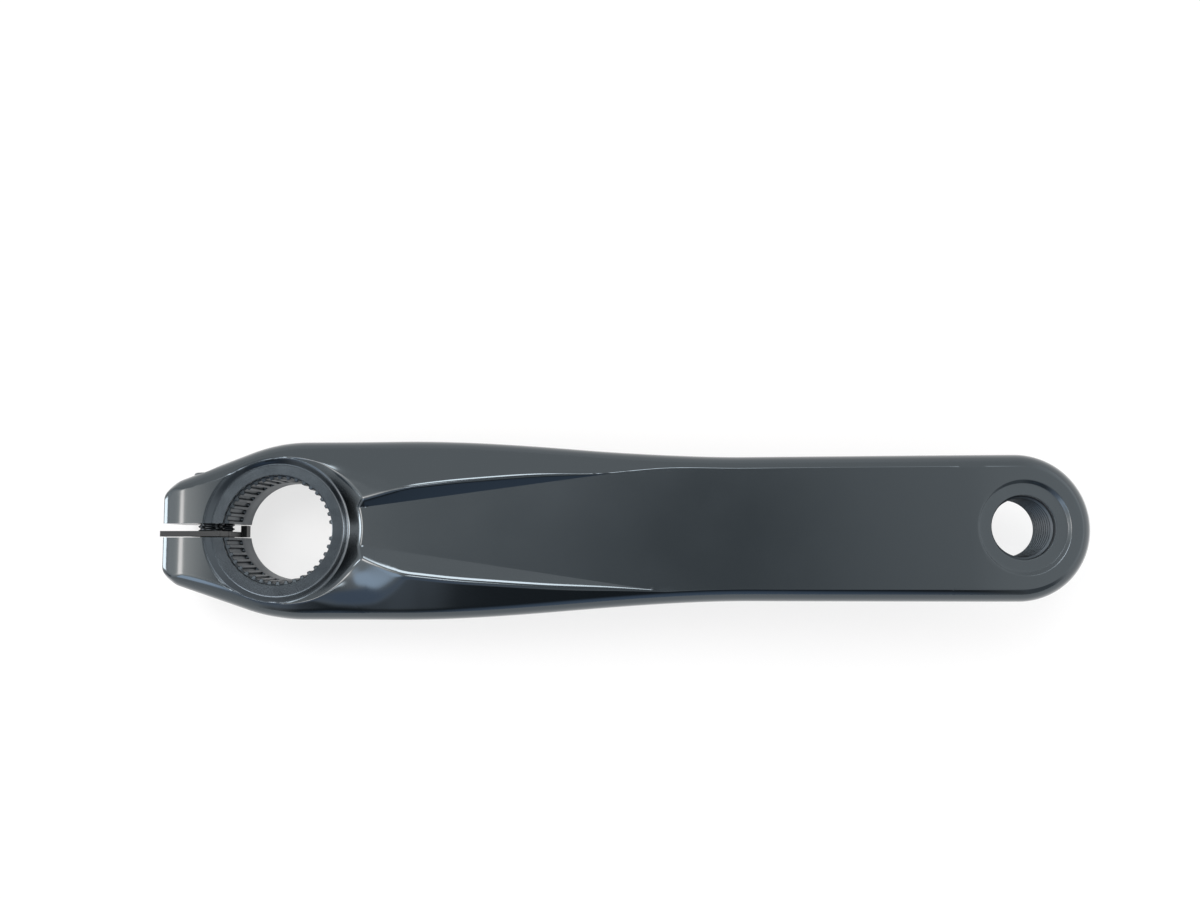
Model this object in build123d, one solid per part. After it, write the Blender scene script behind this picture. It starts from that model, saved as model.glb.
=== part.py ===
"""Left crank arm of a bicycle: a forged arm with a splined pinch clamp, two clamp bolts and a stopper plate.

Millimetres. The origin is on the spindle axis, in the plane of the clamp boss's inner face.
+X runs along the arm to the pedal, +Z points outwards, away from the bicycle.
"""

from build123d import *

import os
from math import asin, atan, cos, degrees, exp, pi, radians, sin, sqrt, tan

os.makedirs("parts", exist_ok=True)

# Arm: main sizes
crank_length = 170.0
eye_half_width = 16.5
eye_setback = 1.8
boss_half_width = 21.15
boss_round_r = 40.0
boss_round_x = 6.3
neck_start_x = 28.0
neck_end_x = 110.0

# Arm: outer face
pad_z = 21.2
panel_root_x = 21.5
panel_root_z = 24.35
panel_eye_z = 37.8
shoulder_r = 5.8
flank_deg = 31.0
nose_hollow_deg = 10.0
nose_hollow_length = 5.0
pad_inset = 3.8

# Arm: raised wings beside the recessed panel
panel_root_half_width = 4.9
wing_end_x = 88.0
wing_end_half_width = 13.2
wing_line_x = 30.0
wing_line_half_width = 11.4
wing_line_slope = 0.036
wing_nose_inset = 5.1
wing_nose_length = 18.0
wing_wall_deg = 30.0
wing_land = 0.6
wing_root_crown = 1.5
edge_min = 0.3

# Arm: back face
back_corner_r = 4.0
back_boss_z = 0.8
back_bend_start_x = 12.0
back_bend_end_x = 52.0
arm_thickness = 15.0

# Boss face towards the frame
boss_face_r = 16.5

# Clamp jaws
jaw_taper_deg = 20.0
jaw_end_x = -28.6
jaw_end_roll = 6.1
jaw_end_deg = 20.0
jaw_corner_r = 3.5
jaw_shift_y = -0.5
slot_width = 3.3

# Spindle bore with its spline
spindle_r = 12.0
spindle_band_length = 8.0
spline_tip_r = 12.05
spline_root_r = 12.9
spline_teeth = 40
spline_tip_width = 0.6
spline_base_width = 1.15
bore_entry_r = 13.0
bore_entry_depth = 1.2
bore_back_chamfer = 0.5

# Milled seat around the bore
land_z = 20.0
land_r = 15.7
ledge_inner_r = 17.0
ledge_outer_r = 17.3
pocket_wall_deg = 42.0

# Pedal eye
pedal_thread_r = 7.144
pedal_face_z = 36.7
pedal_seat_z = 23.4
pedal_face_r = 9.8
pedal_seat_r = 11.5
pedal_chamfer = 0.4

# Clamp bolts, along Y
bolt_x = -17.7
outer_bolt_z = 13.5
inner_bolt_z = 5.5
bolt_r = 3.0
bolt_length = 19.0
bolt_head_r = 4.25
bolt_head_height = 4.6
bolt_socket_width = 5.0
bolt_socket_depth = 3.0
bolt_seat_y = 8.5
bolt_tip_chamfer = 0.6
washer_thickness = 0.8
thread_clearance = 0.04
shank_clearance = 0.25
head_clearance = 0.35
washer_clearance = 0.1

# Stopper plate
plate_thickness = 1.3
plate_side_gap = 0.2
plate_pivot_clearance = 0.05
plate_eye_r = 4.5
plate_top_z = 20.4
plate_bar_height = 3.6
plate_tab_inset = 1.1
plate_bore_gap = 0.4
plate_leg_bottom_z = 0.6
plate_bolt_gap = 0.35
peg_width = 1.5
peg_height = 3.0
peg_bore_gap = 0.15

jaw_tangent_x = boss_round_x - boss_round_r * sin(radians(jaw_taper_deg))
eye_center_x = crank_length - eye_setback
panel_slope = (panel_eye_z - panel_root_z) / (crank_length - panel_root_x)
panel_deg = degrees(atan(panel_slope))


def ease(value, start, end):
    """Smooth step from 0 at start to 1 at end, level at both."""
    t = min(max((value - start) / (end - start), 0.0), 1.0)
    return t * t * (3.0 - 2.0 * t)


def ramp(value, start, end):
    """Straight step from 0 at start to 1 at end."""
    return min(max((value - start) / (end - start), 0.0), 1.0)


def quarter_round(distance, radius):
    """How far a quarter round still stands back, at a distance inwards from its end."""
    reach = max(radius - distance, 0.0)
    return radius - sqrt(radius**2 - reach**2)


def side_half_width(x):
    """Plan outline: tapered jaws, rounded into the boss, then the neck down to the pedal eye."""
    if x < jaw_tangent_x:
        tangent_y = boss_half_width - boss_round_r * (1.0 - cos(radians(jaw_taper_deg)))
        taper = tangent_y - (jaw_tangent_x - x) * tan(radians(jaw_taper_deg))
        return taper - quarter_round(x - jaw_end_x, jaw_corner_r)
    if x < boss_round_x:
        return boss_half_width - boss_round_r + sqrt(boss_round_r**2 - (boss_round_x - x) ** 2)
    return boss_half_width + (eye_half_width - boss_half_width) * ease(x, neck_start_x, neck_end_x)


def panel_z(x):
    """Level of the outer face on the centre line: flat pads on the jaws, then the rising panel."""
    if x <= 0.0:
        flat = jaw_end_roll - shoulder_r * (1.0 - sin(radians(jaw_end_deg)))
        reach = max(jaw_end_x + jaw_end_roll - x, 0.0)
        slope = tan(radians(jaw_end_deg))
        if reach <= flat:
            return pad_z - reach * slope
        crown = shoulder_r * cos(radians(jaw_end_deg))
        across = shoulder_r - (x - jaw_end_x)
        return pad_z - flat * slope - crown + sqrt(shoulder_r**2 - across**2)
    if x < panel_root_x:
        return pad_z + (panel_root_z - pad_z) * x / panel_root_x
    return panel_root_z + panel_slope * (x - panel_root_x)


def back_z(x):
    """Level of the back face on the centre line."""
    if x <= 0.0:
        return back_boss_z + quarter_round(x - jaw_end_x, back_corner_r)
    rise = ease(x, back_bend_start_x, back_bend_end_x)
    return back_boss_z + (panel_z(x) - arm_thickness - back_boss_z) * rise


def flank_angle(x):
    """Fall of the flank beside the wing, flatter in the hollow at the wing's nose."""
    hollow = nose_hollow_deg * exp(-(((x - panel_root_x) / nose_hollow_length) ** 2))
    return radians(flank_deg - hollow)


def wing_half_width(x):
    """Plan line of the wing's crest; on the jaws, the edge of the flat pad."""
    line = wing_line_half_width + wing_line_slope * (x - wing_line_x)
    if x >= panel_root_x:
        return line - wing_nose_inset * (1.0 - ramp(x, panel_root_x, panel_root_x + wing_nose_length)) ** 2
    pad_edge = side_half_width(min(x, 0.0)) - pad_inset - wing_land
    nose = wing_line_half_width + wing_line_slope * (panel_root_x - wing_line_x) - wing_nose_inset
    return pad_edge + (nose - pad_edge) * ease(x, 0.0, panel_root_x)


def wing_rise(x, wall):
    """Height of the wing's crest above the panel, for a wall that is this wide in plan."""
    if x >= panel_root_x:
        return (wall - edge_min) * tan(radians(wing_wall_deg))
    along = ramp(x, 0.0, panel_root_x)
    return 4.0 * wing_root_crown * along * (1.0 - along)


def half_profile(x):
    """Right half of the arm's section at x, from the panel round to the back; the panel is level zero."""
    side = side_half_width(x)
    angle = flank_angle(x)
    shoulder_y = side - shoulder_r * (1.0 - sin(angle))
    crest_y = min(wing_half_width(x), shoulder_y - wing_land - edge_min)
    panel_line = panel_root_half_width + (wing_end_half_width - panel_root_half_width) * (
        (x - panel_root_x) / (wing_end_x - panel_root_x)
    )
    panel_y = min(max(panel_line, panel_root_half_width), crest_y - edge_min)
    crest = wing_rise(x, crest_y - panel_y)
    shoulder_z = crest - (shoulder_y - crest_y - wing_land) * tan(angle)
    center = Vector(side - shoulder_r, shoulder_z - shoulder_r * cos(angle))
    middle = (angle + pi / 2.0) / 2.0
    shoulder_middle = center + Vector(sin(middle), cos(middle)) * shoulder_r
    bottom = back_z(x) - panel_z(x)
    corner = Vector(side - back_corner_r, bottom + back_corner_r)
    corner_middle = corner + Vector(1, -1).normalized() * back_corner_r
    return [
        Line((panel_y, 0), (crest_y, crest)),
        Line((crest_y, crest), (crest_y + wing_land, crest)),
        Line((crest_y + wing_land, crest), (shoulder_y, shoulder_z)),
        ThreePointArc((shoulder_y, shoulder_z), shoulder_middle, (side, center.Y)),
        Line((side, center.Y), (side, corner.Y)),
        ThreePointArc((side, corner.Y), corner_middle, (corner.X, bottom)),
    ]


def section_plane(x):
    """Plane of a section: upright at the clamp, square to the rising panel further out."""
    lean = radians(panel_deg * ramp(x, 0.0, back_bend_end_x))
    shift = jaw_shift_y * ramp(-x, 0.0, -jaw_end_x - jaw_end_roll)
    return Plane(origin=(x, shift, panel_z(x)), x_dir=(0, 1, 0), z_dir=(cos(lean), 0, sin(lean)))


def arm_section(x):
    """Closed section of the arm at x."""
    right = half_profile(x)
    left = [mirror(edge, Plane.YZ) for edge in right]
    top = Line(left[0] @ 0, right[0] @ 0)
    bottom = Line(left[-1] @ 1, right[-1] @ 1)
    return section_plane(x) * make_face([top, *right, bottom, *left])


def spread(start, end, fractions):
    """Stations between two places on the arm."""
    return [start + (end - start) * t for t in fractions]


def arm_body():
    """Forged blank: a loft from the rounded jaw end to the eye, the round pedal end, the boss face."""
    jaw_roll_x = jaw_end_x + jaw_end_roll
    stations = spread(jaw_end_x, jaw_roll_x, [1.0 - cos(radians(angle)) for angle in range(0, 91, 15)])
    stations += spread(jaw_tangent_x, 0.0, (0.0, 0.5, 1.0))
    stations += spread(0.0, panel_root_x, (0.14, 0.32, 0.52, 0.7, 0.86, 1.0))
    stations += spread(panel_root_x, wing_end_x, (0.04, 0.08, 0.13, 0.19, 0.27, 0.37, 0.52, 0.75, 1.0))
    stations += [neck_end_x, eye_center_x]
    arm = loft([arm_section(x) for x in stations], ruled=True)
    right = half_profile(eye_center_x)
    rim_top = right[0] @ 0
    rim_bottom = right[-1] @ 1
    axis_top = Vector(0, rim_top.Y)
    axis_bottom = Vector(0, rim_bottom.Y)
    outline = [Line(axis_top, rim_top), *right, Line(rim_bottom, axis_bottom), Line(axis_bottom, axis_top)]
    plane = section_plane(eye_center_x)
    eye = revolve(plane * make_face(outline), Axis(plane.origin, -plane.y_dir), 180)
    boss_face = Cylinder(
        boss_face_r, back_boss_z + back_corner_r, align=(Align.CENTER, Align.CENTER, Align.MIN)
    )
    return arm + eye + boss_face


def clamp_seat_cut():
    """Milled seat around the bore: cap land, its conical edge, the ledge and the sloping pocket wall."""
    top = panel_eye_z
    pocket_r = ledge_outer_r + (top - pad_z) / tan(radians(pocket_wall_deg))
    profile = Polyline(
        (0, land_z),
        (land_r, land_z),
        (ledge_inner_r, pad_z),
        (ledge_outer_r, pad_z),
        (pocket_r, top),
        (0, top),
        close=True,
    )
    return revolve(Plane.XZ * make_face(profile), Axis.Z, 360)


def spline_cut():
    """Spindle bore: smooth band at the frame side, spline above it with one tooth left out, entry, chamfer."""
    spline_height = land_z - spindle_band_length
    foot_r = 2 * spline_root_r - spline_tip_r
    foot_width = 2 * spline_base_width - spline_tip_width
    tooth = make_face(
        Polyline(
            (spline_tip_r, -spline_tip_width / 2),
            (foot_r, -foot_width / 2),
            (foot_r, foot_width / 2),
            (spline_tip_r, spline_tip_width / 2),
            close=True,
        )
    )
    pitch = 360.0 / spline_teeth
    slot_half_angle = degrees(asin((slot_width + spline_base_width) / 2 / spline_tip_r))
    angles = [pitch * i for i in range(1, spline_teeth) if abs(pitch * i - 180.0) > slot_half_angle]
    section = Circle(spline_root_r) - [Rot(0, 0, angle) * tooth for angle in angles]
    teeth_part = Pos(0, 0, spindle_band_length) * extrude(section, spline_height)
    bore_profile = Polyline(
        (0, 0),
        (spindle_r + bore_back_chamfer, 0),
        (spindle_r, bore_back_chamfer),
        (spindle_r, spindle_band_length),
        (spline_tip_r, spindle_band_length),
        (spline_tip_r, land_z - bore_entry_depth),
        (bore_entry_r, land_z - bore_entry_depth),
        (bore_entry_r, land_z),
        (0, land_z),
        close=True,
    )
    return revolve(Plane.XZ * make_face(bore_profile), Axis.Z, 360) + teeth_part


def pedal_cut():
    """Pedal hole with the turned faces on both sides of the eye and its chamfers."""
    top = panel_eye_z + eye_half_width
    bottom = panel_eye_z - arm_thickness - eye_half_width
    profile = Polyline(
        (0, top),
        (pedal_face_r, top),
        (pedal_face_r, pedal_face_z),
        (pedal_thread_r + pedal_chamfer, pedal_face_z),
        (pedal_thread_r, pedal_face_z - pedal_chamfer),
        (pedal_thread_r, pedal_seat_z + pedal_chamfer),
        (pedal_thread_r + pedal_chamfer, pedal_seat_z),
        (pedal_seat_r, pedal_seat_z),
        (pedal_seat_r, bottom),
        (0, bottom),
        close=True,
    )
    return Pos(crank_length, 0, 0) * revolve(Plane.XZ * make_face(profile), Axis.Z, 360)


def slot_cut():
    """Saw cut through both jaws, from the bore out through the end."""
    return Pos(jaw_end_x, 0, 0) * Box(-2 * jaw_end_x, slot_width, 4 * pad_z)


def bolt_axis(z, head_side):
    """Plane at the clamp's middle whose +Z runs along the bolt towards its head."""
    return Plane(origin=(bolt_x, 0, z), x_dir=(1, 0, 0), z_dir=(0, head_side, 0))


def turned(points):
    """Solid of revolution about Z from (radius, height) points."""
    return revolve(Plane.XZ * make_face(Polyline(*points, close=True)), Axis.Z, 360)


def bolt_hole_cut():
    """Counterbore, clearance hole in the head's jaw and tapped hole in the other, right through."""
    reach = boss_half_width
    tapped_r = bolt_r + thread_clearance
    return turned(
        [
            (0, -reach),
            (tapped_r, -reach),
            (tapped_r, 0),
            (bolt_r + shank_clearance, 0),
            (bolt_r + shank_clearance, bolt_seat_y),
            (bolt_head_r + head_clearance, bolt_seat_y),
            (bolt_head_r + head_clearance, reach),
            (0, reach),
        ]
    )


def clamp_bolt():
    """Socket-head clamp bolt, its head's underside on the washer."""
    under_head = bolt_seat_y + washer_thickness
    tip = under_head - bolt_length
    top = under_head + bolt_head_height
    body = turned(
        [
            (0, tip),
            (bolt_r - bolt_tip_chamfer, tip),
            (bolt_r, tip + bolt_tip_chamfer),
            (bolt_r, under_head),
            (bolt_head_r, under_head),
            (bolt_head_r, top - bolt_tip_chamfer),
            (bolt_head_r - bolt_tip_chamfer, top),
            (0, top),
        ]
    )
    socket = RegularPolygon(bolt_socket_width / 2, 6, major_radius=False)
    return body - Pos(0, 0, top - bolt_socket_depth) * extrude(socket, bolt_socket_depth)


def bolt_washer():
    """Plain washer in the counterbore."""
    return turned(
        [
            (bolt_r + washer_clearance, bolt_seat_y),
            (bolt_head_r, bolt_seat_y),
            (bolt_head_r, bolt_seat_y + washer_thickness),
            (bolt_r + washer_clearance, bolt_seat_y + washer_thickness),
        ]
    )


def crank_arm():
    """The forged and machined arm."""
    arm = arm_body() - clamp_seat_cut() - spline_cut() - pedal_cut() - slot_cut()
    for plane in bolt_planes.values():
        arm -= plane * bolt_hole_cut()
    return arm


def stopper_plate():
    """Safety plate in the slot: a bar out towards the jaws' end, an eye on the outer bolt, a leg and its peg."""
    inner_x = -spline_root_r - plate_bore_gap
    tab_x = jaw_end_x + plate_tab_inset
    leg_x = bolt_x + bolt_r + plate_bolt_gap
    bar = Pos((inner_x + tab_x) / 2, plate_top_z - plate_bar_height / 2) * Rectangle(
        inner_x - tab_x, plate_bar_height
    )
    eye = Pos(bolt_x, outer_bolt_z) * Circle(plate_eye_r)
    leg = Pos((inner_x + leg_x) / 2, (plate_top_z + plate_leg_bottom_z) / 2) * Rectangle(
        inner_x - leg_x, plate_top_z - plate_leg_bottom_z
    )
    hole = Pos(bolt_x, outer_bolt_z) * Circle(bolt_r + plate_pivot_clearance)
    outline = bar + eye + leg - hole
    low_y = -slot_width / 2 + plate_side_gap
    plate = extrude(Plane.XZ.offset(-low_y - plate_thickness) * outline, plate_thickness)
    peg_x = -spindle_r - peg_bore_gap
    peg = Pos(peg_x - peg_width / 2, 0, plate_leg_bottom_z + peg_height / 2) * Box(
        peg_width, slot_width - 2 * plate_side_gap, peg_height
    )
    return plate + peg


bolt_planes = {
    "outer": bolt_axis(outer_bolt_z, 1),
    "inner": bolt_axis(inner_bolt_z, -1),
}

export_step(crank_arm(), "parts/crank_arm.step")
export_step(stopper_plate(), "parts/stopper_plate.step")
for place, plane in bolt_planes.items():
    export_step(plane * clamp_bolt(), f"parts/{place}_clamp_bolt.step")
    export_step(plane * bolt_washer(), f"parts/{place}_bolt_washer.step")
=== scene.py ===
"""Left crank arm of a bicycle, dressed for a studio picture.

The arm, its clamp bolts and washers are surfaces worked out with numpy in millimetres and written to
meshes in metres; the stopper plate is the model's own solid with merged faces and softened edges. +X runs
along the arm to the pedal, +Z points outwards.
"""

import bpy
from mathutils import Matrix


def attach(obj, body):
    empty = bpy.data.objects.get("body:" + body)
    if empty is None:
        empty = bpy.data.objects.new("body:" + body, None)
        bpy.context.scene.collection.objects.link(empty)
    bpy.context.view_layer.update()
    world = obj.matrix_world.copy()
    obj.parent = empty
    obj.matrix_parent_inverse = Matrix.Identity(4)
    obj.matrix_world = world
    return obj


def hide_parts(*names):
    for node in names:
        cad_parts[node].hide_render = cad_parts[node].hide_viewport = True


bl_info = {
    "name": "Bicycle crank arm",
    "version": (1, 0, 0),
    "blender": (4, 5, 0),
    "location": "View3D > Sidebar > Crank arm",
    "description": "Builds a forged crank arm with its pinch clamp, and a studio stage for it",
    "category": "Object",
}

from math import atan, cos, pi, radians, sin, tan
from types import SimpleNamespace

import bmesh
import bpy
import numpy as np
from bpy.props import FloatProperty, FloatVectorProperty, IntProperty, PointerProperty
from bpy.types import Operator, Panel, PropertyGroup

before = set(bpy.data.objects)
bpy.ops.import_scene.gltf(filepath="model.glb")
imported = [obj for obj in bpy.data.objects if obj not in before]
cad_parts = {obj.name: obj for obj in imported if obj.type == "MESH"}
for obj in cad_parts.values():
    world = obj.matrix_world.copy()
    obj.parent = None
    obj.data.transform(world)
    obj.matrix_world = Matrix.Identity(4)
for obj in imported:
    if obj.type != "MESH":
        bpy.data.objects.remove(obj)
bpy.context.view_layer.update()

MM = 0.001
WELD = 0.002 * MM

# Arm's outer face, in millimetres. Rises are given at places along the arm: those of the centre line above
# the pads, up to the panel's root, and those of the shoulder above its level at the jaws, up to the neck.
ROOT_RISE = ((-9.0, 0.0), (-3.0, 0.0), (3.0, 0.8), (10.0, 2.1))
SHOULDER_RISE = (
    *((-5.0, 0.0), (0.0, 0.0), (10.0, 0.4), (18.0, 0.7), (26.0, 1.45)),
    *((34.6, 2.65), (42.0, 3.8), (52.0, 5.15), (67.0, 7.15), (79.0, 8.45)),
)
BEFORE_NECK_X = 96.0  # a place before the neck's end
BEFORE_NECK_DROP = 1.3  # how much lower the shoulder still lies there
PAD_FALL = 0.0035  # fall of the pads towards the jaw end, per square of the distance
PAD_FALL_X = -9.6  # where that fall starts
EYE_FALL = 0.003  # fall of the outer face towards the round end, in the same way
WING_END_DIP = 0.9  # depth of the dip in the upper shoulder where the wing runs out
WING_END_X = 76.0  # its middle
WING_END_REACH = 11.0  # its reach to both sides

# Wings; where there are two numbers, the first one is for the upper wing and the second one for the lower.
PANEL_SPREAD = (0.1285, 0.15)  # growth of the panel's half width along the arm
WALL_SLOPE = (0.8, 0.45)  # rise of the wall outwards from the panel's edge
CAP_RISE = (0.154, 0.25)  # rise of the cap along the arm
CAP_FALL = (0.153, 0.271)  # fall of the cap outwards
CAP_START_Y = 6.0  # distance from the centre line at which that fall starts
CAP_REACH = 8.0  # how far the cap slopes, back and outwards
CAP_ROUND = 4.0  # round at the end of that slope
LOWER_SADDLE = -0.45  # depth at which the lower cap levels out
LOWER_SADDLE_ROUND = 1.2  # round of that change

# How broadly the edge between the flank and the rest of the outer face is rounded, and the places along the
# arm where a round starts, is full, fades and ends.
PAD_ROUND = (0.03, 0.5)
SADDLE_ROUND = (0.9, 2.0)
SADDLE_PLACES = (3.0, 16.0, 22.0, 33.0)
CREST_ROUND = 0.75
CREST_PLACES = ((20.0, 30.0, 55.0, 85.0), (20.0, 30.0, 70.0, 100.0))
ARM_ROUND = 0.2
SHANK_ROUND = 0.05
RIDGE_ROUND = 0.5  # the same between a wing's wall and its cap
BEVEL_ROUND = 0.22  # between the pads and the bevel at the jaw end
SEAT_ROUND = 0.12  # in the milled seat
LEDGE_ROUND = 0.2  # at the ledge's inner edge
POCKET_ROUND = 0.4  # at the upper rim of the pocket

# Places along the arm where a change starts and is complete.
PAD_FADE = (-2.0, 10.0)
ARM_FADE = (0.0, 12.0)
WING_FADE = (6.0, 15.0)
RIDGE_FADE = (12.0, 20.0)
SHANK_FADE = (30.0, 80.0)
JAW_BAND = (0.3, 2.2)  # and depths from the jaws' side, where their flank turns into the outer face

RIM_ANGLE = radians(60.0)  # place on the shoulder arc where the outer face hands over to the side

# Grid rows around the bore: land, cone, ledge, pocket wall, pad and flank. Around the pedal hole: turned
# face, its wall, panel and flank.
BOSS_ROWS = (7, 7, 3, 12, 14, 14)
EYE_ROWS = (6, 8, 12, 14)
HOLE_GAP = 0.1  # from a hole's edge to the first of those rows

ARM_SHARP = 18.0  # bend in degrees past which an edge of the arm stays hard
BOLT_SHARP = 35.0  # the same on bolts and washers

# The arm's material numbers, and the two roughnesses between which each machined finish drifts.
FORGED, TURNED_BOSS, TURNED_EYE, BROACHED = range(4)
TURNED_ROUGH = (0.2, 0.27)
BROACHED_ROUGH = (0.38, 0.48)

# Cards of the studio, later ones over earlier ones: centre and half axes in the plan of the directions they
# are seen in, where their soft edge starts, colour and brightness.
CARDS = (
    ((1.1, 0.3), (1.0, 1.3), 0.2, "#ffffff", 1.4),  # brighter wall on the pedal side
    ((-1.1, -0.1), (0.75, 0.8), 0.5, "#ffffff", 1.4),  # bright wall on the clamp side
    ((0.6, -0.85), (0.5, 0.5), 0.3, "#e8f0f8", 0.45),  # dim corner on the pedal side
    ((-0.12, -0.3), (0.42, 0.75), 0.2, "#f4faff", 0.55),  # dark screen behind the camera
    ((-0.08, 0.0), (0.14, 0.2), 0.1, "#f4faff", 0.45),  # its darker middle
    ((-0.36, -0.68), (0.24, 0.24), 0.4, "#cde1ff", 0.8),  # blue dusk beside that screen
    ((-0.06, -0.92), (0.52, 0.14), 0.45, "#d8e6f4", 0.12),  # dark foot of that screen
    ((-0.1, -1.06), (0.7, 0.15), 0.4, "#b8d0f0", 0.9),  # paler ground before it
    ((-0.575, -0.48), (0.12, 0.23), 0.6, "#dfedff", 3.2),  # cool window
    ((-0.62, -0.02), (0.27, 0.36), 0.1, "#fff5ec", 3.5),  # glow round the clamp lamp
    ((-0.95, -0.42), (0.14, 0.2), 0.5, "#d8e6f4", 0.4),  # dim end of the clamp side's wall
    ((-0.965, 0.0), (0.05, 0.12), 0.8, "#ffffff", 10.0),  # low strip lamp beyond the clamp
    ((-0.64, -0.05), (0.13, 0.2), 0.4, "#ffeee4", 8.0),  # lamp beyond the clamp
    ((-0.3, -0.27), (0.12, 0.12), 0.5, "#ffffff", 7.0),  # lamp below the wings
    ((0.15, 0.42), (0.22, 0.2), 0.3, "#ffffff", 3.0),  # lamp above the shank
    ((-0.22, 0.4), (0.25, 0.28), 0.6, "#ffffff", 9.0),  # lamp above the wings
)


def hex_linear(code):
    """Linear RGBA of an sRGB hex colour."""
    value = np.array([int(code[i : i + 2], 16) for i in (1, 3, 5)]) / 255.0
    linear = np.where(value <= 0.04045, value / 12.92, ((value + 0.055) / 1.055) ** 2.4)
    return (*linear.tolist(), 1.0)


def length(name, size, description):
    """Length property; the default is given in millimetres."""
    return FloatProperty(name=name, description=description, default=size * MM, unit="LENGTH", precision=5)


def angle(name, degrees, description):
    """Angle property; the default is given in degrees."""
    return FloatProperty(name=name, description=description, default=radians(degrees), subtype="ANGLE")


def colour(name, code, description):
    """Colour property; the default is given as sRGB hex."""
    default = hex_linear(code)
    return FloatVectorProperty(name=name, description=description, default=default, size=4, subtype="COLOR")


class CrankArmSizes(PropertyGroup):
    """Sizes of the forged arm."""

    crank_length: length("Crank length", 170.0, "Spindle axis to pedal axis")
    eye_half_width: length("Eye half width", 16.5, "Half the width of the shank and the pedal eye")
    eye_setback: length("Eye setback", 0.8, "Pedal axis to the centre of the round end")
    eye_bend_x: length("Eye bend", 158.0, "Where the outer face starts to level out")
    boss_half_width: length("Boss half width", 21.15, "Half the width at the clamp boss")
    boss_round_r: length("Boss round", 40.0, "Plan radius between the jaw taper and the boss side")
    boss_round_x: length("Boss round end", 6.3, "Where that round meets the straight side")
    neck_start_x: length("Neck start", 28.0, "Where the arm starts to narrow")
    neck_end_x: length("Neck end", 110.0, "Where the arm has narrowed to the shank")
    join_x: length("Boss join", 22.5, "Where the boss grid hands over to the arm grid")
    eye_join_x: length("Eye join", 154.0, "Where the arm grid hands over to the eye grid")
    lean_end_x: length("Lean end", 60.0, "From here the sections stand square to the panel")
    pad_z: length("Pad level", 21.2, "Outer face of the clamp jaws")
    panel_root_x: length("Panel root", 21.5, "Inner end of the recessed panel")
    panel_root_z: length("Panel root level", 24.35, "Level of the panel at its inner end")
    panel_eye_z: length("Panel eye level", 37.8, "Level of the panel at the pedal axis")
    shoulder_r: length("Shoulder radius", 5.8, "Round between flank and side")
    flank_angle: angle("Flank angle", 31.0, "Fall of the flanks beside the wings")
    flank_inset: length("Flank inset", 2.9, "Panel's edge to the side, along the shank")
    pad_inset: length("Pad inset", 3.8, "Flat pad's edge to the side of the jaw")
    upper_root_y: length("Upper panel root", 5.26, "Centre line to the panel's upper edge at its inner end")
    lower_root_y: length("Lower panel root", 3.78, "Centre line to the panel's lower edge at its inner end")
    upper_nose: length("Upper wing nose", 1.58, "Height of the upper wing's nose above the panel's root")
    lower_nose: length("Lower wing nose", 1.5, "Height of the lower wing's nose above the panel's root")
    back_corner_r: length("Back corner", 4.0, "Round between side and back")
    back_boss_z: length("Back level", 0.8, "Level of the back around the boss face")
    back_bend_start_x: length("Back bend start", 12.0, "Where the back starts to rise")
    back_bend_end_x: length("Back bend end", 52.0, "From here the arm has its even thickness")
    arm_thickness: length("Arm thickness", 15.0, "Panel to back")
    boss_face_r: length("Boss face radius", 16.5, "Raised face towards the bearing")
    jaw_taper: angle("Jaw taper", 20.0, "Taper of each jaw in plan")
    jaw_end_x: length("Jaw end", -27.4, "End of the clamp jaws")
    jaw_corner_r: length("Jaw corner", 3.5, "Plan radius of the jaw corners")
    jaw_end_inset: length("Jaw end bevel", 4.8, "Pad's edge to the end of the jaw")
    jaw_end_slope: angle("Jaw end slope", 17.0, "Fall of the bevel at the pad's edge")
    jaw_edge_r: length("Jaw end edge", 0.7, "Round between that bevel and the end face")
    jaw_shift_y: length("Jaw shift", -0.5, "Sideways offset of the jaws")
    jaw_shift_run: length("Jaw shift run", 22.5, "Distance from the spindle axis at which they have it")
    slot_width: length("Slot width", 3.3, "Saw cut between the jaws")
    spindle_r: length("Spindle radius", 12.0, "Smooth band of the bore")
    spline_start_z: length("Spline start", 8.0, "Height of the smooth band")
    spline_tip_r: length("Spline tip radius", 12.05, "Tips of the spline teeth")
    spline_root_r: length("Spline root radius", 12.6, "Grooves between the teeth")
    spline_teeth: IntProperty(name="Spline teeth", description="Pitches around the bore", default=40, min=8)
    bore_entry_r: length("Bore entry radius", 13.0, "Plain entry at the outer end of the bore")
    bore_entry_depth: length("Bore entry depth", 1.2, "Depth of that entry")
    land_z: length("Land level", 20.0, "Milled land around the bore")
    land_r: length("Land radius", 15.7, "Outer radius of the land")
    ledge_inner_r: length("Ledge inner radius", 17.0, "Inner edge of the ledge around the land")
    ledge_outer_r: length("Ledge outer radius", 17.3, "Foot of the pocket wall")
    pocket_angle: angle("Pocket wall angle", 42.0, "Rise of the conical pocket wall")
    pedal_thread_r: length("Pedal thread radius", 7.144, "Half of the nominal thread diameter")
    pedal_thread_pitch: length("Pedal thread pitch", 1.27, "Twenty turns to the inch, left-handed")
    pedal_thread_depth: length("Pedal thread depth", 0.66, "Height of the thread ridges")
    pedal_face_z: length("Pedal face level", 36.7, "Turned face on the outer side")
    pedal_face_r: length("Pedal face radius", 9.8, "Radius of that face")
    pedal_wall_angle: angle("Pedal face wall", 39.0, "Rise of the conical wall around that face")
    pedal_seat_z: length("Pedal seat level", 23.4, "Turned face on the inner side")
    pedal_seat_r: length("Pedal seat radius", 11.5, "Radius of that face")
    pedal_chamfer: length("Pedal chamfer", 0.1, "Chamfers of the pedal hole")


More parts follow.
